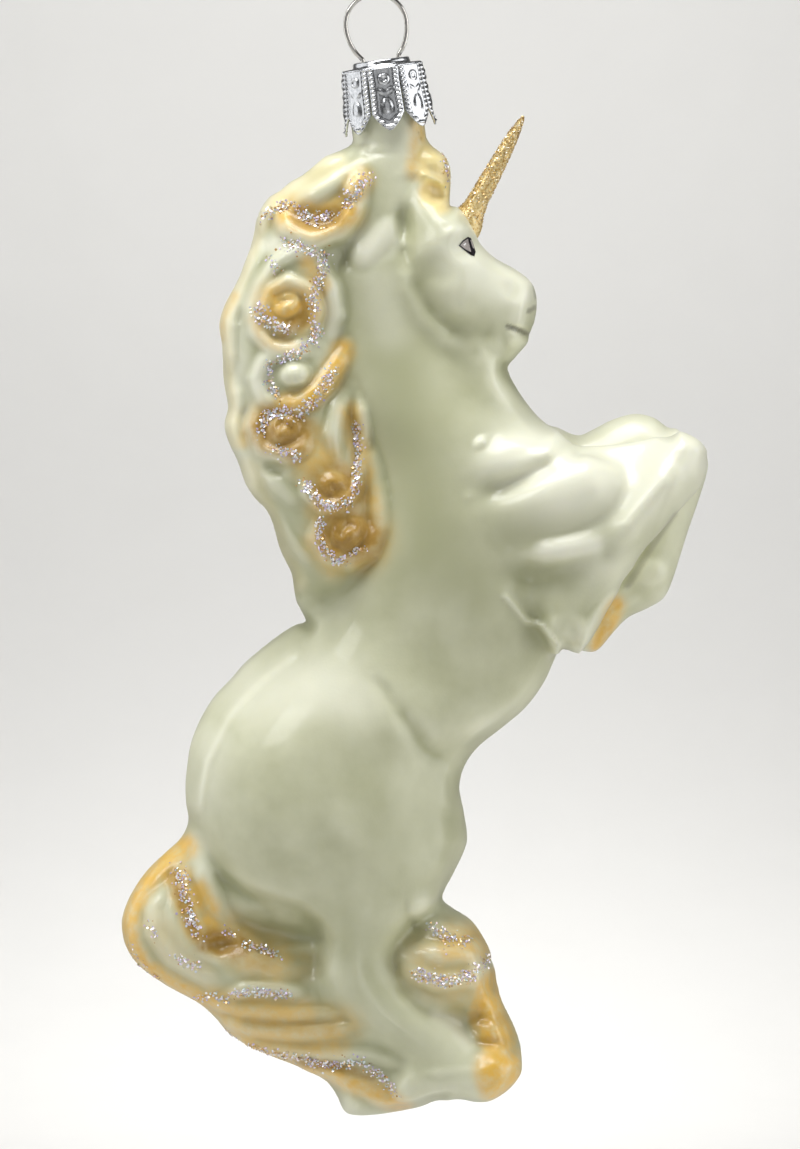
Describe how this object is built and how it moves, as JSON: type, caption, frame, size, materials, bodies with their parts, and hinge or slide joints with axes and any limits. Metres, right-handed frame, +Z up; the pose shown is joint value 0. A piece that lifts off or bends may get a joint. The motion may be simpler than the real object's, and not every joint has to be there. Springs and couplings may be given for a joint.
{
  "type": "glass hanging ornament",
  "caption": "Hollow blown-glass rearing unicorn with a glittered horn, a stamped metal cap and a wire loop to hang it by.",
  "frame": {"origin": "the point inside the wire loop where a hook bears", "axes": "+Z up, +X the way the unicorn faces, +Y to its left"},
  "size_m": [0.0775, 0.0328, 0.1498],
  "materials": {
    "pearl_glass": "blown glass under a satin pearl lacquer, with airbrushed gold and clear glitter",
    "gold_glitter": "drawn glass coated with fine gold glitter",
    "silver_tinplate": "bright stamped tinplate with embossed beads",
    "spring_wire": "bright drawn spring steel wire"
  },
  "bodies": {
    "figure": {"glass_body": "pearl_glass", "horn": "gold_glitter"},
    "cap": {"cap": "silver_tinplate"},
    "hanger": {"hanger_wire": "spring_wire"}
  },
  "joints": [
    {"name": "cap_lift", "type": "slide", "parent": "figure", "child": "cap", "axis": [-0.1392, 0, 0.9903], "range_m": [0, 0.02]},
    {"name": "hanger_slide", "type": "slide", "parent": "cap", "child": "hanger", "axis": [-0.1392, 0, 0.9903], "range_m": [0, 0.0045]}
  ]
}
